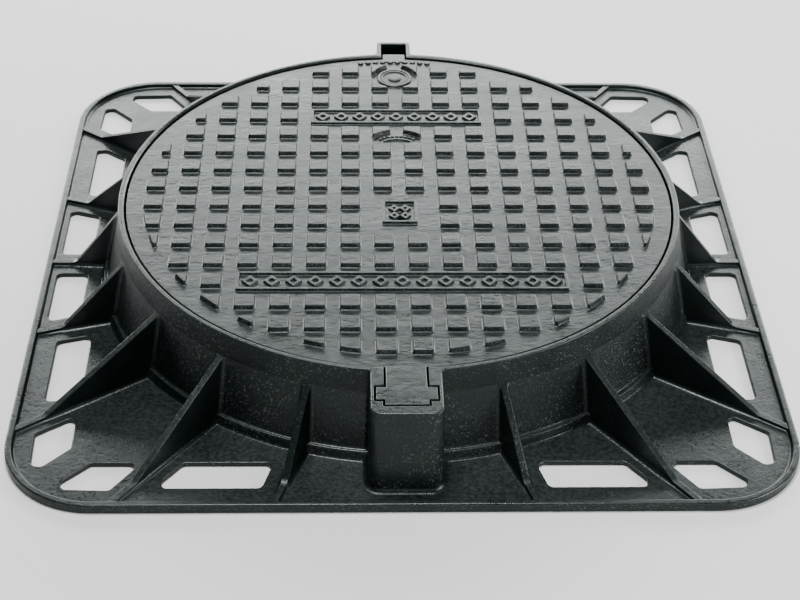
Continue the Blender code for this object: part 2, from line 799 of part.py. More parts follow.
def build_latch(parts, steel):
    """The latch bar: one turn of the spindle brings it under the frame's seat."""
    bar = rounded(rectangle(-LATCH_HALF, LATCH_REACH, -LATCH_HALF, LATCH_HALF), 5 * MM, 3)
    hole = circle(STEM_RADIUS + GAP, SMALL_STEPS)
    low = LATCH_TOP - LATCH_THICKNESS
    latch = place_on_lock(slab("lock_latch", [bar, hole], low, LATCH_TOP, parts))
    finish(latch, steel)
    return latch


def build_washer(parts, steel):
    """The washer between the latch and the nut."""
    high = LATCH_TOP - LATCH_THICKNESS - GAP
    loops = [circle(13 * MM, SMALL_STEPS), circle(STEM_RADIUS + GAP, SMALL_STEPS)]
    washer = place_on_lock(slab("lock_washer", loops, high - 2 * MM, high, parts))
    finish(washer, steel)
    return washer


def build_nut(parts, steel):
    """The nut that holds the latch on its stem."""
    high = LATCH_TOP - LATCH_THICKNESS - 2 * GAP - 2 * MM
    loops = [circle(12.5 * MM, 6), circle(STEM_RADIUS + GAP, SMALL_STEPS)]
    nut = place_on_lock(slab("lock_nut", loops, high - 9 * MM, high, parts))
    finish(nut, steel)
    return nut


def main():
    """Build every piece."""
    clear_scene()
    parts = new_collection("manhole_cover")
    guides = new_collection("guides")
    iron = new_material("black_painted_iron", (0.035, 0.04, 0.04), 0.0, 0.4)
    rubber = new_material("black_rubber", (0.02, 0.02, 0.02), 0.0, 0.75)
    plastic = new_material("grey_plastic", (0.12, 0.125, 0.125), 0.0, 0.5)
    steel = new_material("zinc_steel", (0.55, 0.56, 0.57), 1.0, 0.35)
    build_frame(parts, guides, iron)
    build_cover(parts, guides, iron)
    build_gasket(parts, rubber)
    build_cap(parts, plastic)
    build_seal(parts, rubber)
    build_spindle(parts, guides, steel)
    build_latch(parts, steel)
    build_washer(parts, steel)
    build_nut(parts, steel)


main()
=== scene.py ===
"""Looks of a hinged manhole cover in its square frame: two painted iron castings, a seal and a lock.

Shapes are built in millimetres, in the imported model's own frame, and scaled to metres at the end.
"""

import math

import bmesh
import bpy
import numpy as np
from mathutils import Matrix, Vector
from mathutils.geometry import tessellate_polygon


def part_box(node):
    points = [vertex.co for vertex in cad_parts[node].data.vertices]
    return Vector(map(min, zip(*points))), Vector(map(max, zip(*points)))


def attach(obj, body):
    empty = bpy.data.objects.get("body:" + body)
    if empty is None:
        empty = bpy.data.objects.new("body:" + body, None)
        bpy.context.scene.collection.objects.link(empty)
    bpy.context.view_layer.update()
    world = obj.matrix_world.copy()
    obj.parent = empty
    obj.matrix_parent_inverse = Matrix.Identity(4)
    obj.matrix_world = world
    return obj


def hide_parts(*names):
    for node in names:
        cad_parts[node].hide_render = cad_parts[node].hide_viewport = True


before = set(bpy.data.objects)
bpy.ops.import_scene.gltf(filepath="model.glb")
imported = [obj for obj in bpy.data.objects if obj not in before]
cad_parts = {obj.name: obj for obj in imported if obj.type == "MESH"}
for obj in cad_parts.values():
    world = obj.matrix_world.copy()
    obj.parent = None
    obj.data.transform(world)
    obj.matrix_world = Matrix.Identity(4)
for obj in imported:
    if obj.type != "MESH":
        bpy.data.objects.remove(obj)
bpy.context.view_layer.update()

MM = 0.001
FRAME_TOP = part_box("frame")[1] / MM
COVER_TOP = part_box("cover")[1] / MM
CAP_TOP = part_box("lock_cap")[1] / MM
GASKET_LOW, GASKET_HIGH = (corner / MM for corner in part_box("seat_gasket"))

GAP = 0.3  # clearance between separate pieces

# Frame: flange
HALF = FRAME_TOP.x  # half the side of the square frame
CORNER_RADIUS = 102.0
FLOOR_Z = 5.5  # the flange's upper face
LIP_Z = 11.0
LIP_WIDTH = 7.5
LIP_DRAFT = 0.8
HOLE_CORNER = 7.0  # corner radius of the flange's openings
HOLE_INNER = 355.0  # where the openings start and end, away from the middle
HOLE_OUTER = 393.0

# Frame: ring wall
RIM_Z = FRAME_TOP.z
RIM_OUTER = 329.5
RIM_INNER = 323.0
RIM_CHAMFER = (2.0, 1.8)  # width and height of the chamfer on the rim's inner edge
BAND_Z = 82.0  # lower edge of the nearly upright band
BAND_RADIUS = 333.0
STEP_Z = 16.0  # the stepped foot of the wall
STEP_INNER = 348.5
STEP_OUTER = 353.0
FOOT_RADIUS = 356.0
WALL_THICKNESS = 8.0
WALL_FOOT_Z = 2.0  # the wall's foot is sunk into the flange down to here
UNDERSIDE_Z = 0.4  # lower end of the wall, just above the flange's underside
OPENING_RADIUS = 300.0
SEAT_Z = GASKET_LOW.z - GAP
SEAT_THICKNESS = 10.0
SEAT_HAUNCH_Z = 38.0  # where the seat's sloping underside meets the wall

# Frame: gusset ribs
RIB_STEPS = 20
RIB_CREST = 2.7  # half the flat on top of a rib
RIB_CROWN = 1.0  # radius of a rib's top edges
RIB_LEAN = math.radians(2.0)  # how far a rib's sides lean, for draft
RIB_FILLET = 5.0
RIB_FOOT = 389.0  # where the sloping crest meets the low ridge
RIB_BEND = 14.0  # radius of that bend
RIB_OVERLAP = 2.0  # how far the ridge runs into the lip
RIB_STATIONS = (-4.0, -0.2, 0.3, 0.9, 1.7, 2.7, 3.8, 5.0)  # distances from the wall, over its fillet
RIDGE_Z = 9.5

# Hinge box, socket and tongue
HINGE_Y = -364.6
HINGE_Z = RIM_Z - 4.0
TRUNNION_RADIUS = 10.3
TRUNNION_HALF = 31.5
NECK_HALF = 21.2
TAIL_HALF = 22.5
TAIL_END = -382.4
TONGUE_DEPTH = 16.0
TONGUE_ROOT = (-340.0, -308.0)  # the deep part that joins the tongue to the plate
SOCKET_GAP = 2.2
SOCKET_DEPTH = 30.0
SOCKET_END = -316.0  # inside the ring, so that the channel opens towards the cover
EAR_GAP = 2.0  # clearance before and behind the crossbar
SLOT_EDGE = 0.9
BOX_HALF = 37.5
BOX_END = 397.6
BOX_CORNER = 12.0
BOX_WALL = 6.0
BOX_FLOOR = 8.0  # iron between the socket and the hollow under it

# Lifting pocket and nib
POCKET_HALF = 22.0
POCKET_END = 361.8
POCKET_WALL = 5.5
POCKET_FLOOR = 62.0
POCKET_EDGE = 1.6
NIB_HALF = 14.8
NIB_END = 332.0
NIB_DEPTH = 9.0

# Cover
COVER_RADIUS = 320.7
PLATE_Z = RIM_Z - 3.0
PLATE_THICKNESS = 10.0
BEARING_INNER = 302.0
BEARING_Z = GASKET_HIGH.z + GAP
WEB_Z = SEAT_Z + 2.0
WEB_REACH = 270.0
WEBS = 8

# Studs and marks
STUD_PITCH = 38.35
STUD_ROWS = 16
STUD_BASE = 23.6
STUD_TOP = 20.6
STUD_HEIGHT = COVER_TOP.z - PLATE_Z - 0.3
STUD_FIELD = 301.0  # radius of the field of studs
SMALLEST_STUD = 10.0  # a stud needs at least this much of itself inside the field
STUD_CROWN = 0.9
STUD_LEAN = math.radians(17.0)
STUD_FILLET = 1.7
PANEL_Y = 4.5 * STUD_PITCH
PANEL_HALF_DEPTH = 17.0
PANEL_BORDER = 4.0
PANEL_HEIGHT = 3.2
FRONT_COLUMNS = 10
REAR_COLUMNS = 6
DIAMONDS = (15, 9)  # in the front panel and in the rear one
DIAMOND = ((8.4, 9.2), (5.2, 5.7))  # half sizes in X and Y, outside and inside
DIAMOND_LEAN = math.radians(20)
BADGE_HALF = (21.0, 23.0)
SMALL_DIAMOND = ((6.0, 6.8), (3.2, 3.6))
SMALL_DIAMOND_PLACE = (6.4, 7.2)  # from the badge's middle
BACK_BEADS_RADIUS = 311.0
ARC_CENTRE = (0.0, 92.0)
ARC_RADIUS = 42.5  # the studs keep clear of the small arc by this radius
ARC_LINE = (28.0, 29.5)  # inner and outer radius of the arc's plain line
ARC_REACH = math.radians(34)
ARC_BEADS_RADIUS = 35.5
BEAD_LEAN = math.radians(18)
BEAD_FILLET = 0.7

# Lock
LOCK_Y = 7 * STUD_PITCH
LOCK_CLEARING = 27.0
COLLAR_RADIUS = 22.5
COLLAR_Z = PLATE_Z + 2.8
CAP_RADIUS = CAP_TOP.x
SHANK_RADIUS = 9.6
STEM_RADIUS = 7.0
STEM_HOLE = STEM_RADIUS + GAP
LOCK_FLOOR = 88.0  # bottom of the bore that the cap and the spindle's head sit in
HUB_RADIUS = 25.0
HUB_Z = 46.0

SKIN = 0.05  # how far a fillet's edge dips under the face it runs out on
SINK = 1.2  # how far a raised shape is sunk into the casting
RING_STEPS = 192  # facets round the castings
LOCK_STEPS = 64  # facets round the lock's pieces
ARC_STEPS = 4  # facets in a rounded edge


# ---------------------------------------- outlines

def rectangle(x_low, x_high, y_low, y_high):
    """Corners of a rectangle, anticlockwise."""
    return [(x_low, y_low), (x_high, y_low), (x_high, y_high), (x_low, y_high)]


def polar(radius, angle, centre=(0.0, 0.0)):
    """The point at this distance and angle from a centre."""
    return centre[0] + radius * math.cos(angle), centre[1] + radius * math.sin(angle)


def between(start, end, share):
    """The point this share of the way from one point to another."""
    return start[0] + share * (end[0] - start[0]), start[1] + share * (end[1] - start[1])


def bearing(start, end):
    """The angle of the way from one point to another."""
    return math.atan2(end[1] - start[1], end[0] - start[0])


def circle(radius, steps, centre=(0.0, 0.0)):
    """Points of a circle, anticlockwise, the first at +X."""
    return [polar(radius, 2 * math.pi / steps * i, centre) for i in range(steps)]


def without_repeats(points, nearest=1e-4):
    """Drop the points of a closed path that lie too near the one before."""
    return [point for i, point in enumerate(points) if math.dist(point, points[i - 1]) > nearest]


def room(corners, radii, i, j):
    """How far the rounding of corner i may reach towards the next corner j."""
    share = 0.49 if radii[j] > 0 else 1.0
    return share * math.dist(corners[i], corners[j])


def rounded(corners, radii, steps=ARC_STEPS):
    """Replace the corners of a path by arcs; radii is one number or one for each corner."""
    if not isinstance(radii, (list, tuple)):
        radii = [radii] * len(corners)
    points = []
    count = len(corners)
    for i, ((x, y), radius) in enumerate(zip(corners, radii)):
        before = corners[i - 1]
        after = corners[(i + 1) % count]
        to_before = bearing((x, y), before)
        to_after = bearing((x, y), after)
        half = abs(math.remainder(to_after - to_before, 2 * math.pi)) / 2
        if radius <= 0 or half > math.radians(88):
            points.append((x, y))
            continue
        space = min(room(corners, radii, i, i - 1), room(corners, radii, i, (i + 1) % count))
        setback = min(radius / math.tan(half), space)
        radius = setback * math.tan(half)
        middle = math.atan2(
            math.sin(to_before) + math.sin(to_after), math.cos(to_before) + math.cos(to_after)
        )
        centre = polar(radius / math.sin(half), middle, (x, y))
        start = bearing(centre, polar(setback, to_before, (x, y)))
        end = bearing(centre, polar(setback, to_after, (x, y)))
        sweep = math.remainder(end - start, 2 * math.pi)
        for k in range(steps + 1):
            points.append(polar(radius, start + sweep * k / steps, centre))
    return without_repeats(points)


def profiled(corners):
    """A path with rounded corners, each corner given as two coordinates and its radius."""
    return rounded([corner[:2] for corner in corners], [corner[2] for corner in corners])


def mirrored(corners, flip_x, flip_y, swap):
    """Mirror a polygon in X, in Y and across the diagonal, and keep it anticlockwise."""
    result = []
    for x, y in corners:
        if swap:
            x, y = y, x
        result.append((-x if flip_x else x, -y if flip_y else y))
    turned_over = (flip_x + flip_y + swap) % 2 == 1
    return result[::-1] if turned_over else result


def shifted(loop, distance):
    """An anticlockwise loop with every side moved inwards by one distance."""
    points = np.array(loop, float)
    side = np.roll(points, -1, 0) - points
    side /= np.linalg.norm(side, axis=1)[:, None]
    inward = np.stack([-side[:, 1], side[:, 0]], 1)
    total = inward + np.roll(inward, 1, 0)
    return points + 2 * distance * total / (total ** 2).sum(1)[:, None]


def crossings(start, end, centre, radius):
    """Where a segment crosses a circle, as fractions of its length."""
    a = Vector(start) - Vector(centre)
    d = Vector(end) - Vector(start)
    half = a.dot(d) / d.dot(d)
    rest = half * half - (a.dot(a) - radius * radius) / d.dot(d)
    if rest <= 0:
        return []
    root = math.sqrt(rest)
    return [t for t in (-half - root, -half + root) if 0 < t < 1]


def clipped(loop, centre, radius, keep_inside, spacing=2.0):
    """The part of a loop inside or outside a circle, closed along the circle's own arc."""
    points = []
    for i, start in enumerate(loop):
        end = loop[(i + 1) % len(loop)]
        if (math.dist(start, centre) < radius) == keep_inside:
            points.append((start, False))
        for share in crossings(start, end, centre, radius):
            points.append((between(start, end, share), True))
    result = []
    for i, (point, is_cut) in enumerate(points):
        result.append(point)
        following, is_following_cut = points[(i + 1) % len(points)]
        if not (is_cut and is_following_cut):
            continue
        start = bearing(centre, point)
        sweep = math.remainder(bearing(centre, following) - start, 2 * math.pi)
        steps = max(1, round(abs(sweep) * radius / spacing))
        for k in range(1, steps):
            result.append(polar(radius, start + sweep * k / steps, centre))
    return result


def flank(top, base, crown, lean, fillet, rows=1):
    """Side of a raised shape, from the bottom up, as pairs of growth beyond its top face and height.

    The top edge has the radius crown, the side leans outwards and runs into the base in a fillet.
    """
    sweep = math.pi / 2 - lean
    fillet_top = base + fillet * (1 - math.cos(sweep))
    crown_end = (crown * math.sin(sweep), top - crown * (1 - math.cos(sweep)))
    slope_end = crown_end[0] + (crown_end[1] - fillet_top) * math.tan(lean)
    centre = slope_end + fillet * math.sin(sweep)
    path = [(centre, base - SINK)]
    for k in range(ARC_STEPS + 1):
        angle = sweep * k / ARC_STEPS
        path.append((centre - fillet * math.sin(angle), base - SKIN + fillet * (1 - math.cos(angle))))
    for k in range(1, rows):
        path.append(between((slope_end, fillet_top), crown_end, k / rows))
    for k in range(ARC_STEPS + 1):
        angle = sweep * (1 - k / ARC_STEPS)
        path.append((crown * math.sin(angle), top - crown * (1 - math.cos(angle))))
    return path


def plate_edge(bottom, top, lower, upper):
    """Upright side of a plate with rounded edges, from the bottom up."""
    path = [(-lower, bottom), (0.0, bottom), (0.0, top), (-upper, top)]
    return rounded(path, [0, lower, upper, 0])


# ---------------------------------------- solids

def bridge(shape, low, high):
    """Faces between two rings, either of which may be a single point."""
    count = max(len(low), len(high))
    if count < 2:
        return
    for i in range(count):
        j = (i + 1) % count
        corners = [low[i % len(low)], low[j % len(low)], high[j % len(high)], high[i % len(high)]]
        shape.faces.new(list(dict.fromkeys(corners)))


def cap(shape, rings):
    """Close a flat end; the first ring is the outside and the rest are holes."""
    if len(rings) == 1:
        shape.faces.new(rings[0])
        return
    corners = [vertex for ring in rings for vertex in ring]
    for triangle in tessellate_polygon([[vertex.co for vertex in ring] for ring in rings]):
        shape.faces.new([corners[i] for i in triangle])


def placed(name, data):
    """A new object in the scene."""
    item = bpy.data.objects.new(name, data)
    bpy.context.scene.collection.objects.link(item)
    return item


def as_object(name, shape):
    """Turn a bmesh into an object, its faces pointing out."""
    bmesh.ops.recalc_face_normals(shape, faces=shape.faces)
    if shape.calc_volume(signed=True) < 0:
        bmesh.ops.reverse_faces(shape, faces=shape.faces)
    mesh = bpy.data.meshes.new(name)
    shape.to_mesh(mesh)
    shape.free()
    return placed(name, mesh)


def loft(name, loops, levels):
    """A solid between flat loops, the first the outside and the rest holes.

    levels has one list for each loop, of growth and height from the bottom up; growth is how far
    the material stands out past the loop at that height.
    """
    shape = bmesh.new()
    feet = []
    tops = []
    for index, (loop, steps) in enumerate(zip(loops, levels)):
        outwards = -1 if index == 0 else 1
        rings = []
        for growth, height in steps:
            outline = shifted(loop, outwards * growth)
            rings.append([shape.verts.new((x, y, height)) for x, y in outline])
        for low, high in zip(rings, rings[1:]):
            bridge(shape, low, high)
        feet.append(rings[0])
        tops.append(rings[-1])
    cap(shape, feet)
    cap(shape, tops)
    return as_object(name, shape)


def turned(name, profile, steps=RING_STEPS):
    """A profile of (radius, height) points turned about the Z axis, closed on itself."""
    shape = bmesh.new()
    rings = []
    for radius, height in profile:
        if radius == 0:
            rings.append([shape.verts.new((0.0, 0.0, height))])
        else:
            rings.append([shape.verts.new((x, y, height)) for x, y in circle(radius, steps)])
    for low, high in zip(rings, rings[1:] + rings[:1]):
        bridge(shape, low, high)
    return as_object(name, shape)


def concave(reach, radius):
    """How far a fillet of this radius stands out from a side, at this distance from the wall."""
    short = min(radius, max(0.0, radius - reach - SKIN))
    return radius - math.sqrt(radius * radius - short * short)


def fin(name, columns, crest_half, lean, crown, fillet):
    """An upright tapered plate in the XZ plane, with a rounded crest and a filleted foot.

    Each column is its foot point, its crest point and its distance from the wall it grows out of.
    """
    shape = bmesh.new()
    rings = []
    for foot, crest, reach in columns:
        tall = math.dist(foot, crest)
        side = flank(tall, 0.0, min(crown, 0.35 * tall), lean, min(fillet, 0.45 * tall))
        extra = crest_half + concave(reach, fillet)
        left = []
        right = []
        for growth, height in side:
            x, z = between(foot, crest, height / tall)
            left.append(shape.verts.new((x, growth + extra, z)))
            right.append(shape.verts.new((x, -growth - extra, z)))
        rings.append(left + right[::-1])
    for low, high in zip(rings, rings[1:]):
        bridge(shape, low, high)
    cap(shape, rings[:1])
    cap(shape, rings[-1:])
    return as_object(name, shape)


def moved(item, matrix):
    """Transform an object's own shape."""
    item.data.transform(matrix)
    return item


def shift(x=0.0, y=0.0, z=0.0):
    """A matrix that moves."""
    return Matrix.Translation((x, y, z))


def turn(degrees, axis):
    """A matrix that turns about one axis."""
    return Matrix.Rotation(math.radians(degrees), 4, axis)


def round_piece(name, corners):
    """A piece turned about the lock's own axis, from corners with their radii."""
    return moved(turned(name, profiled(corners), LOCK_STEPS), shift(y=LOCK_Y))


def gathered(name, items):
    """Put several separate solids in one mesh."""
    shape = bmesh.new()
    for item in items:
        shape.from_mesh(item.data)
        bpy.data.objects.remove(item, do_unlink=True)
    return as_object(name, shape)


def fused(name, first, additions, cuts=()):
    """Join solids to the first one, and then take the cuts away."""
    for operation, others in (("UNION", additions), ("DIFFERENCE", cuts)):
        for other in others:
            modifier = first.modifiers.new(other.name, "BOOLEAN")
            modifier.operation = operation
            modifier.solver = "MANIFOLD"
            modifier.object = other
    bpy.context.view_layer.update()
    graph = bpy.context.evaluated_depsgraph_get()
    mesh = bpy.data.meshes.new_from_object(first.evaluated_get(graph))
    mesh.name = name
    for other in list(additions) + list(cuts) + [first]:
        bpy.data.objects.remove(other, do_unlink=True)
    return placed(name, mesh)


# ---------------------------------------- frame casting

def flange_holes():
    """The twenty openings of the flange: five in each quarter, drawn once and mirrored."""
    beside_axis = [(373, 20), (410, 20), (410, 113), (373, 101)]
    beside_corner = [(HOLE_INNER, 139), (HOLE_OUTER, 150), (HOLE_OUTER, 254), (381, 254), (HOLE_INNER, 234)]
    at_corner = [
        (HOLE_INNER, 288), (362, 284), (HOLE_OUTER + 3, 308), (HOLE_OUTER + 1, 357), (383, 360),
        (HOLE_INNER, 331),
    ]
    holes = []
    for flip_x in (False, True):
        for flip_y in (False, True):
            holes.append(mirrored(beside_axis, flip_x, flip_y, False))
            for swap in (False, True):
                holes.append(mirrored(beside_corner, flip_x, flip_y, swap))
                holes.append(mirrored(at_corner, flip_x, flip_y, swap))
    return [rounded(hole, HOLE_CORNER, 6) for hole in holes]


def flange():
    """The flange plate with its raised lip and the rounded edges of its openings."""
    outer = rounded(rectangle(-HALF, HALF, -HALF, HALF), CORNER_RADIUS, 24)
    lip = profiled([
        (-3.0, 0.0, 0.0),
        (0.0, 0.0, 1.0),
        (0.0, LIP_Z, 2.4),
        (-LIP_WIDTH, LIP_Z, 2.2),
        (-LIP_WIDTH - LIP_DRAFT, FLOOR_Z, 2.6),
        (-13.0, FLOOR_Z, 0.0),
    ])
    middle = circle(STEP_INNER, RING_STEPS)
    holes = flange_holes()
    hole_edge = plate_edge(0.0, FLOOR_Z, 0.7, 1.5)
    levels = [lip, [(0.0, 0.0), (0.0, FLOOR_Z)]] + [hole_edge] * len(holes)
    return loft("flange", [outer, middle] + holes, levels)


def wall_radius(z):
    """Outer radius of the ring wall at a height."""
    heights = [FLOOR_Z, STEP_Z, BAND_Z, RIM_Z]
    radii = [FOOT_RADIUS, STEP_INNER, BAND_RADIUS, RIM_OUTER]
    return float(np.interp(z, heights, radii))


def ring_wall():
    """Rim, upright band, sloping wall, stepped foot and the cover's seat, all turned."""
    corners = [
        (RIM_OUTER, RIM_Z, 1.6),
        (BAND_RADIUS, BAND_Z, 9.0),
        (STEP_INNER, STEP_Z, 3.0),
        (STEP_OUTER, STEP_Z, 1.8),
        (FOOT_RADIUS, FLOOR_Z - SKIN, 3.2),
        (FOOT_RADIUS + 6.0, FLOOR_Z - SKIN, 0.0),
        (FOOT_RADIUS + 6.0, WALL_FOOT_Z, 0.0),
        (STEP_INNER, WALL_FOOT_Z, 0.0),
        (STEP_INNER, UNDERSIDE_Z, 0.0),
        (STEP_INNER - WALL_THICKNESS, UNDERSIDE_Z, 0.8),
        (STEP_INNER - WALL_THICKNESS, STEP_Z, 6.0),
        (BAND_RADIUS + WALL_THICKNESS / 4, SEAT_HAUNCH_Z, 5.0),
        (OPENING_RADIUS, SEAT_Z - SEAT_THICKNESS, 2.0),
        (OPENING_RADIUS, SEAT_Z, 1.5),
        (RIM_INNER - 0.2, SEAT_Z, 2.0),
        (RIM_INNER, RIM_Z - RIM_CHAMFER[1], 0.5),
        (RIM_INNER + RIM_CHAMFER[0], RIM_Z, 1.2),
    ]
    return turned("ring_wall", profiled(corners))


def rib_columns(stretch):
    """Columns of one rib, from inside the wall along the sloping crest and the low ridge to the lip."""
    foot_x = RIB_FOOT * stretch
    lip_x = (HALF - LIP_WIDTH + RIB_OVERLAP) * stretch
    steep = (BAND_Z - RIDGE_Z) / (foot_x - BAND_RADIUS)
    tilt = (STEP_INNER - BAND_RADIUS) / (BAND_Z - STEP_Z)
    base_start = BAND_RADIUS + tilt * (BAND_Z - FLOOR_Z)
    columns = []
    for reach in RIB_STATIONS:
        along = reach / (1 - tilt * steep)
        columns.append((
            (base_start + reach, FLOOR_Z), (BAND_RADIUS + along, BAND_Z - steep * along), reach,
        ))
    last_foot, last_crest, far = columns[-1]
    bend = rounded([last_crest, (foot_x, RIDGE_Z), (lip_x, RIDGE_Z)], [0, RIB_BEND, 0], 6)
    steps = 5
    middle = [between(last_crest, bend[1], k / steps) for k in range(1, steps)]
    for crest in middle + bend[1:]:
        share = (crest[0] - last_crest[0]) / (lip_x - last_crest[0])
        columns.append((between(last_foot, (lip_x, FLOOR_Z), share), crest, far))
    return columns


def ribs():
    """The gusset ribs; the places at front and back belong to the hinge box and the pocket."""
    taken = (RIB_STEPS // 4, 3 * RIB_STEPS // 4)
    made = []
    for i in range(RIB_STEPS):
        if i in taken:
            continue
        angle = 2 * math.pi * i / RIB_STEPS
        stretch = 1 / max(abs(math.cos(angle)), abs(math.sin(angle)))
        rib = fin("rib", rib_columns(stretch), RIB_CREST, RIB_LEAN, RIB_CROWN, RIB_FILLET)
        made.append(moved(rib, Matrix.Rotation(angle, 4, "Z")))
    return made


def block(name, half, near, far, corner, crown, splay, fillet):
    """A block that stands out from the ring along +Y, filleted to the flange and to the wall."""
    side_steps = 28
    side_rows = 24
    wall_fillet = 4.0
    end = far - corner
    side = [near + (end - near) * k / side_steps for k in range(side_steps + 1)]
    front = rounded([(half - crown, end), (half - crown, far - crown), (crown - half, far - crown),
                     (crown - half, end)], [0, corner - crown, corner - crown, 0], 6)
    outline = [(half - crown, y) for y in side[:-1]] + front + [(crown - half, y) for y in side[-2::-1]]
    lean = math.atan(splay / (RIM_Z - FLOOR_Z))
    levels = flank(RIM_Z, FLOOR_Z, crown, lean, fillet, side_rows)
    item = loft(name, [outline], [levels])
    for vertex in item.data.vertices:
        reach = math.hypot(vertex.co.x, vertex.co.y) - wall_radius(vertex.co.z)
        vertex.co.x += math.copysign(concave(reach, wall_fillet), vertex.co.x)
    return item


def mouth(top, edge):
    """Growth and height of a cutter where it rounds an upper edge, from the bottom up."""
    arc = [
        (edge * (1 - math.cos(t)), top - edge + edge * math.sin(t))
        for t in np.linspace(0, math.pi / 2, ARC_STEPS + 1)
    ]
    return arc + [(edge, top + SINK)]


def slot_cut(name, outline, floor, edge):
    """A cutter for a slot that is open at the rim, its upper edges rounded."""
    levels = [(0.0, floor)] + mouth(RIM_Z, edge)
    return loft(name, [outline], [levels])


def socket_cuts():
    """The deep channel of the hinge socket, and the shallow arms for the crossbar's ends."""
    neck = NECK_HALF + SOCKET_GAP
    tail = TAIL_HALF + SOCKET_GAP
    front = TAIL_END - SOCKET_GAP
    ear_front = HINGE_Y - TRUNNION_RADIUS - EAR_GAP
    ear_back = HINGE_Y + TRUNNION_RADIUS + EAR_GAP
    channel = rounded([
        (-tail, front), (tail, front), (tail, ear_front), (neck, ear_front),
        (neck, SOCKET_END), (-neck, SOCKET_END), (-neck, ear_front), (-tail, ear_front),
    ], [1.5, 1.5, 0, 0, 0, 0, 0, 0], 3)
    ear = TRUNNION_HALF + SOCKET_GAP
    arms = rounded(rectangle(-ear, ear, ear_front, ear_back), 1.5, 3)
    return [
        slot_cut("socket_channel", channel, RIM_Z - SOCKET_DEPTH, SLOT_EDGE),
        slot_cut("socket_arms", arms, HINGE_Z - TRUNNION_RADIUS - GAP, SLOT_EDGE),
    ]


def pocket_cut():
    """The lifting pocket's hollow, open through the ring towards the cover."""
    inside = POCKET_HALF - POCKET_WALL
    outline = rounded(
        rectangle(-inside, inside, -SOCKET_END, POCKET_END - POCKET_WALL), [0, 0, 2.0, 2.0], 4
    )
    return slot_cut("pocket_hollow", outline, POCKET_FLOOR, POCKET_EDGE)


def box_hollow():
    """The hollow under the hinge socket, open at the frame's underside."""
    inside = BOX_HALF - BOX_WALL
    edge = 1.2
    outline = rounded(rectangle(-inside, inside, BOX_WALL - BOX_END, -FOOT_RADIUS - 1.0), 4.0)
    ceiling = RIM_Z - SOCKET_DEPTH - BOX_FLOOR
    levels = [(edge, -SINK), (edge, 0.0), (0.35, 0.35), (0.0, edge), (0.0, ceiling)]
    return loft("box_hollow", [outline], [levels])


def frame_casting():
    """The whole frame, one casting."""
    box = block("hinge_box", BOX_HALF, near=324.0, far=BOX_END, corner=BOX_CORNER,
                crown=2.2, splay=2.5, fillet=6.0)
    moved(box, turn(180, "Z"))
    pocket = block("pocket_block", POCKET_HALF, near=325.0, far=POCKET_END, corner=4.0,
                   crown=1.6, splay=1.5, fillet=4.0)
    outworks = gathered("outworks", ribs() + [box, pocket])
    cuts = [box_hollow()] + socket_cuts() + [pocket_cut()]
    return fused("frame_casting", flange(), [ring_wall(), outworks], cuts)


# ---------------------------------------- cover casting

def cover_body():
    """The round plate with its downturned bearing ring."""
    under = PLATE_Z - PLATE_THICKNESS
    corners = [
        (0.0, PLATE_Z, 0.0),
        (COVER_RADIUS, PLATE_Z, 1.3),
        (COVER_RADIUS - 1.0, BEARING_Z, 1.0),
        (BEARING_INNER, BEARING_Z, 1.5),
        (BEARING_INNER - 3.0, under, 7.0),
        (0.0, under, 0.0),
    ]
    return turned("cover_body", profiled(corners))


def web(index):
    """One stiffening rib across the underside, hanging from the plate."""
    under = PLATE_Z - PLATE_THICKNESS
    reach = BEARING_INNER + 3.0
    end_z = BEARING_Z + 2.0
    crest = [(-reach, end_z), (-WEB_REACH, WEB_Z), (WEB_REACH, WEB_Z), (reach, end_z)]
    columns = []
    for x, z in rounded(crest, [0, 12.0, 12.0, 0]):
        columns.append(((x, 0.0), (x, under - z), RIB_FILLET))
    item = fin("web_%d" % index, columns, crest_half=1.3, lean=math.radians(2.5), crown=1.7,
               fillet=RIB_FILLET)
    moved(item, Matrix.Diagonal((1, 1, -1, 1)))
    moved(item, shift(z=under))
    item.data.flip_normals()
    return moved(item, turn(index * 360 / WEBS, "Z"))


def panel_half(columns):
    """Half the length of a panel that takes the place of this many studs in a row."""
    return ((columns - 1) * STUD_PITCH + STUD_BASE) / 2


def is_kept(x, y):
    """Whether a stud stands here: inside the field and clear of the panels and the badge."""
    near = math.hypot(abs(x) - STUD_BASE / 2, abs(y) - STUD_BASE / 2)
    if near > STUD_FIELD - SMALLEST_STUD:
        return False
    if abs(y + PANEL_Y) < STUD_PITCH / 2 and abs(x) < panel_half(FRONT_COLUMNS):
        return False
    if abs(y - PANEL_Y) < STUD_PITCH / 2 and abs(x) < panel_half(REAR_COLUMNS):
        return False
    return not (abs(y + STUD_PITCH) < STUD_PITCH and abs(x) < STUD_PITCH)


def softened(outline, radius):
    """Round an outline's true corners, and leave its arcs as they are."""
    radii = []
    for i, (x, y) in enumerate(outline):
        before = outline[i - 1]
        after = outline[(i + 1) % len(outline)]
        turning = math.remainder(bearing((x, y), after) - bearing(before, (x, y)), 2 * math.pi)
        radii.append(radius if abs(turning) > math.radians(30) else 0.0)
    return rounded(outline, radii, 3)


def raised(name, loops, height, crown, lean, fillet):
    """A low shape standing on the plate; its loops are the edges of its top face."""
    side = flank(PLATE_Z + height, PLATE_Z, crown, lean, fillet)
    spread = side[0][0]
    outer = softened(loops[0], 0.7)
    holes = [softened(hole, spread + 0.3) for hole in loops[1:]]
    return loft(name, [outer] + holes, [side] * len(loops))


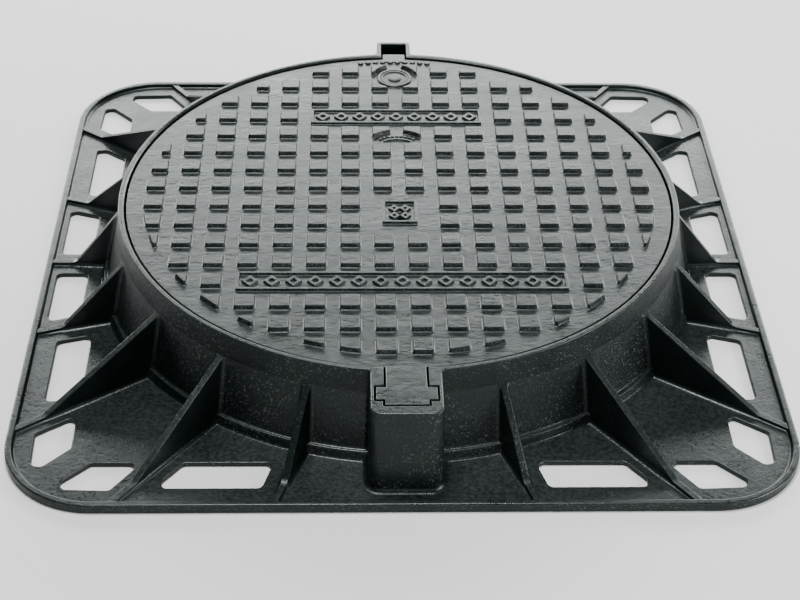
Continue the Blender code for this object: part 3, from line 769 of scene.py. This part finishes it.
def stud(x, y):
    """One square stud, cut back by the field's edge, the lock and the small arc where they meet it."""
    half = STUD_TOP / 2 - STUD_CROWN
    draft = (STUD_BASE - STUD_TOP) / 2 + STUD_CROWN
    outline = rectangle(x - half, x + half, y - half, y + half)
    outline = clipped(outline, (0.0, 0.0), STUD_FIELD - draft, True)
    outline = clipped(outline, (0.0, LOCK_Y), LOCK_CLEARING + draft, False)
    if 0 < y - ARC_CENTRE[1] - STUD_PITCH / 2 < STUD_PITCH:
        outline = clipped(outline, ARC_CENTRE, ARC_RADIUS + draft, False)
    outline = without_repeats(outline, 1.0)
    return raised("stud", [outline], STUD_HEIGHT, STUD_CROWN, STUD_LEAN, STUD_FILLET)


def studs():
    """All the studs."""
    middle = (STUD_ROWS - 1) / 2
    made = []
    for row in range(STUD_ROWS):
        for column in range(STUD_ROWS):
            x = (column - middle) * STUD_PITCH
            y = (row - middle) * STUD_PITCH
            if is_kept(x, y):
                made.append(stud(x, y))
    return made


def border(name, half_x, centre_y, half_y):
    """A raised border round a panel."""
    crown = 0.8
    fillet = 0.9
    loops = []
    for inset in (2 * crown, PANEL_BORDER - 2 * crown + fillet):
        loops.append(rectangle(
            inset - half_x, half_x - inset, centre_y - half_y + inset, centre_y + half_y - inset
        ))
    return raised(name, loops, PANEL_HEIGHT, crown, math.radians(9), fillet)


def hollow_diamond(name, x, y, sizes, height, edge):
    """A raised diamond with a hollow in it; sizes are half sizes, outside and inside."""
    loops = [
        [(x, y - half_y), (x + half_x, y), (x, y + half_y), (x - half_x, y)]
        for half_x, half_y in sizes
    ]
    return raised(name, loops, height, edge, DIAMOND_LEAN, edge)


def panel_row(half_x, centre_y, count):
    """A plain row of hollow diamonds that fills a panel."""
    made = []
    spacing = (2 * half_x - 2 * PANEL_BORDER) / count
    for i in range(count):
        x = (i - (count - 1) / 2) * spacing
        made.append(hollow_diamond("diamond", x, centre_y, DIAMOND, height=2.4, edge=0.6))
    return made


def badge():
    """The badge: a square border with four small diamonds in it."""
    made = [border("badge", BADGE_HALF[0], -STUD_PITCH, BADGE_HALF[1])]
    for x in (-SMALL_DIAMOND_PLACE[0], SMALL_DIAMOND_PLACE[0]):
        for y in (-SMALL_DIAMOND_PLACE[1], SMALL_DIAMOND_PLACE[1]):
            made.append(hollow_diamond(
                "small_diamond", x, y - STUD_PITCH, SMALL_DIAMOND, height=2.2, edge=0.5
            ))
    return made


def arc_of_beads(centre, radius, count, spacing, bead, height):
    """Small round beads along an arc that faces the back."""
    made = []
    for i in range(count):
        angle = math.pi / 2 + (i - (count - 1) / 2) * spacing / radius
        outline = circle(bead, 16, polar(radius, angle, centre))
        made.append(raised("bead", [outline], height, 0.9, BEAD_LEAN, BEAD_FILLET))
    return made


def small_arc():
    """The plain raised line under the arc of beads."""
    steps = 12
    inner, outer = ARC_LINE
    angles = [math.pi / 2 - ARC_REACH + 2 * ARC_REACH * k / steps for k in range(steps + 1)]
    loop = [polar(outer, angle, ARC_CENTRE) for angle in angles]
    loop += [polar(inner, angle, ARC_CENTRE) for angle in reversed(angles)]
    return raised("small_arc", [loop], height=2.0, crown=0.5, lean=BEAD_LEAN, fillet=BEAD_FILLET)


def lock_hub():
    """The thickened hub below the lock, and the raised collar round its cap."""
    lean = 0.5
    skirt_radius = COLLAR_RADIUS + 4.0
    skirt_z = PLATE_Z - 3.0
    corners = [
        (0.0, COLLAR_Z, 0.0),
        (COLLAR_RADIUS - lean, COLLAR_Z, 1.9),
        (COLLAR_RADIUS + lean, PLATE_Z - SKIN, 1.6),
        (skirt_radius, PLATE_Z - SKIN, 0.0),
        (skirt_radius, skirt_z, 0.0),
        (HUB_RADIUS, skirt_z, 0.0),
        (HUB_RADIUS, HUB_Z, 2.0),
        (0.0, HUB_Z, 0.0),
    ]
    return round_piece("lock_hub", corners)


def lock_bore():
    """The stepped bore through the hub, its upper edge rounded."""
    wide = CAP_RADIUS + GAP
    narrow = SHANK_RADIUS + GAP
    profile = [(0.0, COLLAR_Z + SINK)]
    profile += [(wide + growth, height) for growth, height in reversed(mouth(COLLAR_Z, edge=1.0))]
    profile += [(wide, LOCK_FLOOR), (narrow, LOCK_FLOOR), (narrow, HUB_Z - SINK), (0.0, HUB_Z - SINK)]
    return moved(turned("lock_bore", profile, LOCK_STEPS), shift(y=LOCK_Y))


def tongue():
    """The T-shaped tongue: root, neck, tail and the round crossbar with its flat top."""
    top_edge = plate_edge(RIM_Z - TONGUE_DEPTH + 2.0, RIM_Z, 1.0, 1.1)
    neck = rectangle(-NECK_HALF, NECK_HALF, HINGE_Y - 2.0, -COVER_RADIUS - 1.5)
    tail = rectangle(-TAIL_HALF, TAIL_HALF, TAIL_END, HINGE_Y)
    root = rectangle(-NECK_HALF, NECK_HALF, *TONGUE_ROOT)
    flat = math.acos((RIM_Z - HINGE_Z) / TRUNNION_RADIUS)
    steps = 32
    angles = np.linspace(math.pi / 2 + flat, 5 * math.pi / 2 - flat, steps + 1)
    section = [polar(TRUNNION_RADIUS, angle) for angle in angles]
    ends = [0.0] * (steps + 1)
    ends[0] = 1.0
    ends[-1] = 1.0
    bar = loft("crossbar", [rounded(section, ends, 3)], [
        plate_edge(-TRUNNION_HALF, TRUNNION_HALF, 0.9, 0.9)
    ])
    moved(bar, turn(90, "Z") @ turn(90, "X"))
    moved(bar, shift(0.0, HINGE_Y, HINGE_Z))
    return [
        loft("tongue_root", [root], [plate_edge(RIM_Z - TONGUE_DEPTH, PLATE_Z - SINK, 1.0, 0.5)]),
        loft("tongue_neck", [neck], [top_edge]),
        loft("tongue_tail", [tail], [top_edge]),
        bar,
    ]


def nib():
    """The short lip that a lifting bar hooks under."""
    outline = rounded(rectangle(-NIB_HALF, NIB_HALF, COVER_RADIUS - 9.0, NIB_END), [0, 0, 2.0, 2.0], 4)
    return loft("nib", [outline], [plate_edge(PLATE_Z - NIB_DEPTH, PLATE_Z + 1.0, 1.0, 1.1)])


def cover_casting():
    """The whole cover, one casting."""
    front_half = panel_half(FRONT_COLUMNS)
    rear_half = panel_half(REAR_COLUMNS)
    marks = studs() + badge()
    marks.append(border("front_panel", front_half, -PANEL_Y, PANEL_HALF_DEPTH))
    marks.append(border("rear_panel", rear_half, PANEL_Y, PANEL_HALF_DEPTH))
    marks += panel_row(front_half, -PANEL_Y, DIAMONDS[0])
    marks += panel_row(rear_half, PANEL_Y, DIAMONDS[1])
    marks += arc_of_beads((0.0, 0.0), BACK_BEADS_RADIUS, count=10, spacing=9.8, bead=2.6, height=2.4)
    marks += arc_of_beads(ARC_CENTRE, ARC_BEADS_RADIUS, count=9, spacing=5.4, bead=1.2, height=1.8)
    marks.append(small_arc())
    additions = [web(i) for i in range(WEBS // 2)] + [lock_hub()]
    additions += [gathered("marks", marks), nib()] + tongue()
    return fused("cover_casting", cover_body(), additions, [lock_bore()])


# ---------------------------------------- seals and lock

def flat_ring(inner, outer, low, high, edge):
    """Profile of a flat ring with rounded edges, as corners with their radii."""
    return [(outer, high, edge), (outer, low, edge), (inner, low, edge), (inner, high, edge)]


def gasket():
    """The flat sealing ring on the frame's seat."""
    corners = flat_ring(BEARING_INNER, COVER_RADIUS - 0.5, GASKET_LOW.z, GASKET_HIGH.z, 1.2)
    return turned("gasket", profiled(corners))


def lock_cap():
    """The push-in cap: a rim, a groove and a slightly domed disc to grip."""
    rim = COLLAR_Z - 0.5
    groove_z = rim - 1.3
    groove_radius = 15.4
    disc_radius = 8.6
    ceiling = rim - 4.0
    skirt = LOCK_FLOOR + 10.0
    inner = CAP_RADIUS - 2.0
    corners = [
        (0.0, rim + 0.7, 0.0),
        (disc_radius - 3.0, rim + 0.6, 2.0),
        (disc_radius, rim + 0.1, 0.5),
        (disc_radius, groove_z, 0.4),
        (groove_radius, groove_z, 0.5),
        (groove_radius, rim, 0.6),
        (CAP_RADIUS, rim, 0.7),
        (CAP_RADIUS, skirt, 0.5),
        (inner, skirt, 0.4),
        (inner, ceiling, 0.8),
        (0.0, ceiling, 0.0),
    ]
    return round_piece("cap", corners)


def lock_seal():
    """The sealing ring under the spindle's head."""
    low, high = (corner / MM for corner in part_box("lock_seal"))
    inner = SHANK_RADIUS + 0.7
    return round_piece("seal", flat_ring(inner, high.x, low.z, high.z, 0.8))


def lock_spindle():
    """The spindle: a six-sided drive on a round head, its shank, and a thinner stem."""
    low, high = (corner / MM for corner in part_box("lock_spindle"))
    head_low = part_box("lock_seal")[1].z / MM + GAP
    shank_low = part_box("lock_latch")[1].z / MM + GAP
    head_high = high.z - 8.0
    corners = [
        (0.0, head_high, 0.0),
        (high.x, head_high, 0.6),
        (high.x, head_low, 0.5),
        (SHANK_RADIUS, head_low, 0.2),
        (SHANK_RADIUS, shank_low, 0.6),
        (STEM_RADIUS, shank_low, 0.3),
        (STEM_RADIUS, low.z, 1.2),
        (0.0, low.z, 0.0),
    ]
    shaft = turned("shaft", profiled(corners), LOCK_STEPS)
    hexagon = rounded(circle(8.0, 6), 0.6)
    drive = loft("drive", [hexagon], [plate_edge(head_high - 1.0, high.z, 0.3, 0.9)])
    return moved(fused("spindle", shaft, [drive]), shift(y=LOCK_Y))


def lock_latch():
    """The latch bar: a quarter turn of the spindle brings it under the frame's seat."""
    low, high = (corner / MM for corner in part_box("lock_latch"))
    half = high.y - LOCK_Y
    bar = rounded(rectangle(low.x, high.x, -half, half), 5.0, 6)
    hole = circle(STEM_HOLE, 48)
    edge = plate_edge(low.z, high.z, 0.8, 0.8)
    return moved(loft("latch", [bar, hole], [edge, edge]), shift(y=LOCK_Y))


def lock_washer():
    """The washer between the latch and the nut."""
    low, high = (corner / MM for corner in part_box("lock_washer"))
    return round_piece("washer", flat_ring(STEM_HOLE, high.x, low.z, high.z, 0.3))


def lock_nut():
    """The nut that holds the latch on its stem."""
    low, high = (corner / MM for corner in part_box("lock_nut"))
    body = rounded(circle(high.x, 6), 0.8)
    edge = plate_edge(low.z, high.z, 1.0, 1.0)
    bore = plate_edge(low.z, high.z, 0.6, 0.6)
    return moved(loft("nut", [body, circle(STEM_HOLE, 48)], [edge, bore]), shift(y=LOCK_Y))


# ---------------------------------------- stage
# Places and sizes are in metres here, and powers in watts.

CAMERA_PLACE = (-0.0568, -1.7192, 1.2681)
CAMERA_YAW = math.radians(2.017)
CAMERA_PITCH = math.radians(37.47)
CAMERA_ROLL = math.radians(1.186)
CAMERA_LENS = 78.74
CAMERA_SENSOR = 36.0

FLOOR_HALF = 6.0
FLOOR_GAP = 0.0003  # keeps the floor clear of the flange's underside
FLOOR_COLOUR = (0.86, 0.86, 0.86, 1.0)
STUDIO_COLOUR = (0.90, 1.0, 1.0, 1.0)
STUDIO_STRENGTH = 0.14
MIDDLE = (0.0, 0.0, 0.1)
LIGHTS = (  # name, place, what it is aimed at, size and power
    ("back_light", (0.0, 3.0, 1.25), (0.0, 0.3, 0.1), (3.8, 1.3), 150.0),
    ("back_left_light", (-2.1, 2.4, 0.95), MIDDLE, (1.2, 0.8), 50.0),
    ("back_right_light", (2.1, 2.4, 1.0), MIDDLE, (1.2, 0.8), 60.0),
    ("top_light", (-0.2, -0.1, 2.6), MIDDLE, (0.9, 0.9), 80.0),
    ("right_light", (1.9, -0.95, 0.65), MIDDLE, (0.9, 0.6), 32.0),
    ("low_right_light", (1.9, -0.4, 0.24), MIDDLE, (1.4, 0.42), 5.0),
    ("front_light", (0.3, -3.0, 0.46), MIDDLE, (3.2, 0.9), 20.0),
)


def camera():
    """A camera at the front, high up, with a slight turn and roll."""
    data = bpy.data.cameras.new("camera")
    data.lens = CAMERA_LENS
    data.sensor_width = CAMERA_SENSOR
    item = placed("camera", data)
    ahead = Vector((
        math.sin(CAMERA_YAW) * math.cos(CAMERA_PITCH),
        math.cos(CAMERA_YAW) * math.cos(CAMERA_PITCH),
        -math.sin(CAMERA_PITCH),
    ))
    level = Vector((math.cos(CAMERA_YAW), -math.sin(CAMERA_YAW), 0.0))
    upright = level.cross(ahead)
    right = math.cos(CAMERA_ROLL) * level + math.sin(CAMERA_ROLL) * upright
    up = math.cos(CAMERA_ROLL) * upright - math.sin(CAMERA_ROLL) * level
    turn_matrix = Matrix((right, up, -ahead)).transposed().to_4x4()
    item.matrix_world = Matrix.Translation(CAMERA_PLACE) @ turn_matrix
    bpy.context.scene.camera = item


def area_light(name, place, target, size, power):
    """A rectangular soft light aimed at a point."""
    data = bpy.data.lights.new(name, "AREA")
    data.shape = "RECTANGLE"
    data.size, data.size_y = size
    data.energy = power
    item = placed(name, data)
    item.location = place
    aim = Vector(target) - Vector(place)
    item.rotation_euler = aim.to_track_quat("-Z", "Y").to_euler()


def stage():
    """A plain pale floor and soft studio light."""
    mesh = bpy.data.meshes.new("floor")
    shape = bmesh.new()
    bmesh.ops.create_grid(shape, x_segments=1, y_segments=1, size=FLOOR_HALF)
    shape.to_mesh(mesh)
    shape.free()
    floor = placed("floor", mesh)
    floor.location.z = -FLOOR_GAP
    material = bpy.data.materials.new("floor")
    material.use_nodes = True
    shader = material.node_tree.nodes["Principled BSDF"]
    shader.inputs["Base Color"].default_value = FLOOR_COLOUR
    shader.inputs["Roughness"].default_value = 0.9
    shader.inputs["Specular IOR Level"].default_value = 0.0
    mesh.materials.append(material)

    world = bpy.data.worlds.new("studio")
    bpy.context.scene.world = world
    world.use_nodes = True
    background = world.node_tree.nodes["Background"]
    background.inputs["Color"].default_value = STUDIO_COLOUR
    background.inputs["Strength"].default_value = STUDIO_STRENGTH
    for light in LIGHTS:
        area_light(*light)


# ---------------------------------------- materials

PAINT = ((0.0020, 0.0043, 0.0042, 1.0), (0.0050, 0.0080, 0.0078, 1.0))
PAINT_SHEEN = (0.90, 1.0, 0.99, 1.0)
# painted glints: light specks that stand in for sparkle of light on the paint's grains
PAINTED_GLINT = (0.080, 0.089, 0.088, 1.0)
FRAME_DUST = (0.0155, 0.0195, 0.0190, 1.0)
COVER_DUST = (0.026, 0.0305, 0.0297, 1.0)
RUBBER = ((0.010, 0.010, 0.011, 1.0), (0.022, 0.022, 0.023, 1.0))
PLASTIC = ((0.009, 0.013, 0.013, 1.0), (0.034, 0.041, 0.040, 1.0))  # clean and dirty
STEEL = ((0.40, 0.41, 0.43, 1.0), (0.58, 0.58, 0.59, 1.0))


def add(tree, kind, inputs=None, **settings):
    """Add a node; each input is given as a value or as the socket that feeds it."""
    made = tree.nodes.new(kind)
    for name, value in settings.items():
        setattr(made, name, value)
    for name, value in (inputs or {}).items():
        if isinstance(value, bpy.types.NodeSocket):
            tree.links.new(value, made.inputs[name])
        else:
            made.inputs[name].default_value = value
    return made


def new_material(name):
    """A material's node tree, its shader and the object's own coordinates."""
    material = bpy.data.materials.new(name)
    material.use_nodes = True
    tree = material.node_tree
    shader = tree.nodes["Principled BSDF"]
    place = tree.nodes.new("ShaderNodeTexCoord")
    return material, tree, shader, place


def noise(tree, place, size, detail=3.0, stretch=(1.0, 1.0, 1.0)):
    """Noise whose blotches are about this many millimetres across."""
    mapping = add(tree, "ShaderNodeMapping", {"Vector": place.outputs["Object"], "Scale": stretch})
    made = add(tree, "ShaderNodeTexNoise", {
        "Vector": mapping.outputs["Vector"], "Scale": 1 / (size * MM), "Detail": detail,
    })
    return made.outputs["Fac"]


def ranged(tree, value, low, high, to_low, to_high):
    """A value carried from one range to another, without going past its ends."""
    made = add(tree, "ShaderNodeMapRange", {
        "Value": value, "From Min": low, "From Max": high, "To Min": to_low, "To Max": to_high,
    })
    return made.outputs["Result"]


def combined(tree, operation, first, second):
    """Arithmetic on two values."""
    return add(tree, "ShaderNodeMath", {0: first, 1: second}, operation=operation).outputs["Value"]


def blended(tree, factor, first, second):
    """One colour going over into another."""
    inputs = {"Factor": factor, "A": first, "B": second}
    return add(tree, "ShaderNodeMix", inputs, data_type="RGBA").outputs["Result"]


def bumps(tree, heights):
    """Stack bump layers, given as height sockets and depths in millimetres, coarsest first."""
    normal = None
    for height, depth in heights:
        inputs = {"Height": height, "Distance": depth * MM, "Strength": 1.0}
        if normal is not None:
            inputs["Normal"] = normal
        normal = add(tree, "ShaderNodeBump", inputs).outputs["Normal"]
    return normal


def looking_up(tree, place):
    """How far the surface faces up, from -1 to 1."""
    return add(tree, "ShaderNodeSeparateXYZ", {"Vector": place.outputs["Normal"]}).outputs["Z"]


def steep_faces(tree, place):
    """One on upright faces, going down to none on those that face up."""
    return ranged(tree, looking_up(tree, place), 0.1, 0.7, 1.0, 0.0)


def outward_faces(tree, place):
    """One on faces far out that look away from the middle of the object, none on the others."""
    inputs = {0: place.outputs["Normal"], 1: place.outputs["Object"]}
    outward = add(tree, "ShaderNodeVectorMath", inputs, operation="DOT_PRODUCT")
    return ranged(tree, outward.outputs["Value"], 0.16, 0.30, 0.0, 1.0)


def iron_material(name, streak, relief, dust, glint_faces, glint_level):
    """Black bitumen paint over sand-cast iron.

    Dust lies on what faces up. Light specks, painted glints that stand in for sparkle of light on single
    grains, go on the faces that the mask picks, fewer of them the higher the threshold is.
    """
    material, tree, shader, place = new_material(name)
    waves = noise(tree, place, 26.0, 2.0, streak)
    patches = noise(tree, place, 70.0, 4.0)
    sand = noise(tree, place, 4.5, 2.5, streak)
    peel = noise(tree, place, 1.8, 2.0)
    glint_noise = noise(tree, place, 2.2, 1.0)
    upright = looking_up(tree, place)

    upward = ranged(tree, upright, 0.75, 1.0, 0.0, 1.0)
    dusty = combined(tree, "MULTIPLY", upward, ranged(tree, sand, 0.35, 0.7, 0.25, 1.0))
    colour = blended(tree, ranged(tree, patches, 0.3, 0.7, 0.0, 1.0), *PAINT)
    colour = blended(tree, dusty, colour, dust)
    # painted glints: light specks on the faces the mask picks, standing in for sparkle of light
    glint_place = combined(
        tree, "MULTIPLY", glint_faces(tree, place), ranged(tree, patches, 0.35, 0.6, 0.15, 1.0)
    )
    painted_glints = combined(tree, "MULTIPLY", glint_place, ranged(tree, glint_noise, glint_level, glint_level + 0.1, 0.0, 1.0))
    colour = blended(tree, painted_glints, colour, PAINTED_GLINT)
    tree.links.new(colour, shader.inputs["Base Color"])

    gloss = ranged(tree, combined(tree, "ADD", patches, sand), 0.7, 1.3, 0.25, 0.42)
    gloss = combined(tree, "ADD", gloss, ranged(tree, upright, 0.1, 0.7, 0.07, 0.0))
    tree.links.new(gloss, shader.inputs["Roughness"])
    layers = [(waves, 2.2 * relief), (sand, relief), (peel, 0.21)]
    tree.links.new(bumps(tree, layers), shader.inputs["Normal"])
    polish = ranged(tree, upright, 0.15, 0.7, 0.24, 0.50)
    tree.links.new(polish, shader.inputs["Specular IOR Level"])
    shader.inputs["Specular Tint"].default_value = PAINT_SHEEN
    return material


def mottled_material(name, colours, spread, blotches, grain, roughness, rough_grain=False, metallic=0.0):
    """A material with soft blotches and a fine grain, each given by its size, detail and depth.

    The colours go over into each other along the spread of the blotches. The roughness follows the
    blotches, or the grain if rough_grain is set.
    """
    material, tree, shader, place = new_material(name)
    coarse = noise(tree, place, *blotches[:2])
    fine = noise(tree, place, *grain[:2])
    colour = blended(tree, ranged(tree, coarse, *spread, 0.0, 1.0), *colours)
    tree.links.new(colour, shader.inputs["Base Color"])
    gloss = ranged(tree, fine if rough_grain else coarse, 0.3, 0.7, *roughness)
    tree.links.new(gloss, shader.inputs["Roughness"])
    layers = [(coarse, blotches[2]), (fine, grain[2])]
    tree.links.new(bumps(tree, layers), shader.inputs["Normal"])
    shader.inputs["Metallic"].default_value = metallic
    return material


# ---------------------------------------- finishing

MERGE = 0.0005  # vertices nearer than this, in millimetres, become one
FLAT_ANGLE = math.radians(0.1)  # faces that meet at less than this are one flat
SHARP_ANGLE = math.radians(34)


def settled(item, body, slot, material, *nodes):
    """Clean and scale a finished piece, give it its material, and put it on its body."""
    shape = bmesh.new()
    shape.from_mesh(item.data)
    bmesh.ops.remove_doubles(shape, verts=shape.verts, dist=MERGE)
    bmesh.ops.dissolve_limit(shape, angle_limit=FLAT_ANGLE, verts=shape.verts, edges=shape.edges)
    shape.transform(Matrix.Scale(MM, 4))
    shape.to_mesh(item.data)
    shape.free()
    item.data.materials.clear()
    item.data.materials.append(material)
    item.data.shade_smooth()
    item.data.set_sharp_from_angle(angle=SHARP_ANGLE)
    normals = item.modifiers.new("normals", "WEIGHTED_NORMAL")
    normals.keep_sharp = True
    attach(item, body)
    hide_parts(*nodes)


def main():
    """Build every piece and the stage."""
    # the last two arguments place each casting's painted glints
    painted = iron_material("frame_iron", streak=(1.0, 1.0, 1.0), relief=0.25, dust=FRAME_DUST,
                            glint_faces=outward_faces, glint_level=0.60)
    trodden = iron_material("cover_iron", streak=(0.45, 1.0, 1.0), relief=0.27, dust=COVER_DUST,
                            glint_faces=steep_faces, glint_level=0.50)
    rubber = mottled_material("black_rubber", RUBBER, spread=(0.35, 0.65), blotches=(30.0, 3.0, 0.15),
                              grain=(1.2, 3.0, 0.05), roughness=(0.62, 0.82), rough_grain=True)
    plastic = mottled_material("cap_plastic", PLASTIC, spread=(0.45, 0.7), blotches=(9.0, 4.0, 0.12),
                               grain=(0.8, 2.0, 0.03), roughness=(0.32, 0.55))
    steel = mottled_material("plated_steel", STEEL, spread=(0.35, 0.65), blotches=(7.0, 4.0, 0.05),
                             grain=(0.9, 2.0, 0.02), roughness=(0.42, 0.26), metallic=1.0)
    settled(frame_casting(), "frame", "iron", painted, "frame")
    settled(cover_casting(), "cover", "iron", trodden, "cover")
    settled(gasket(), "frame", "rubber", rubber, "seat_gasket")
    settled(lock_seal(), "cover", "rubber", rubber, "lock_seal")
    settled(lock_cap(), "cap", "cap_plastic", plastic, "lock_cap")
    settled(lock_spindle(), "lock", "steel", steel, "lock_spindle")
    settled(lock_latch(), "lock", "steel", steel, "lock_latch")
    settled(lock_washer(), "lock", "steel", steel, "lock_washer")
    settled(lock_nut(), "lock", "steel", steel, "lock_nut")
    camera()
    stage()


main()
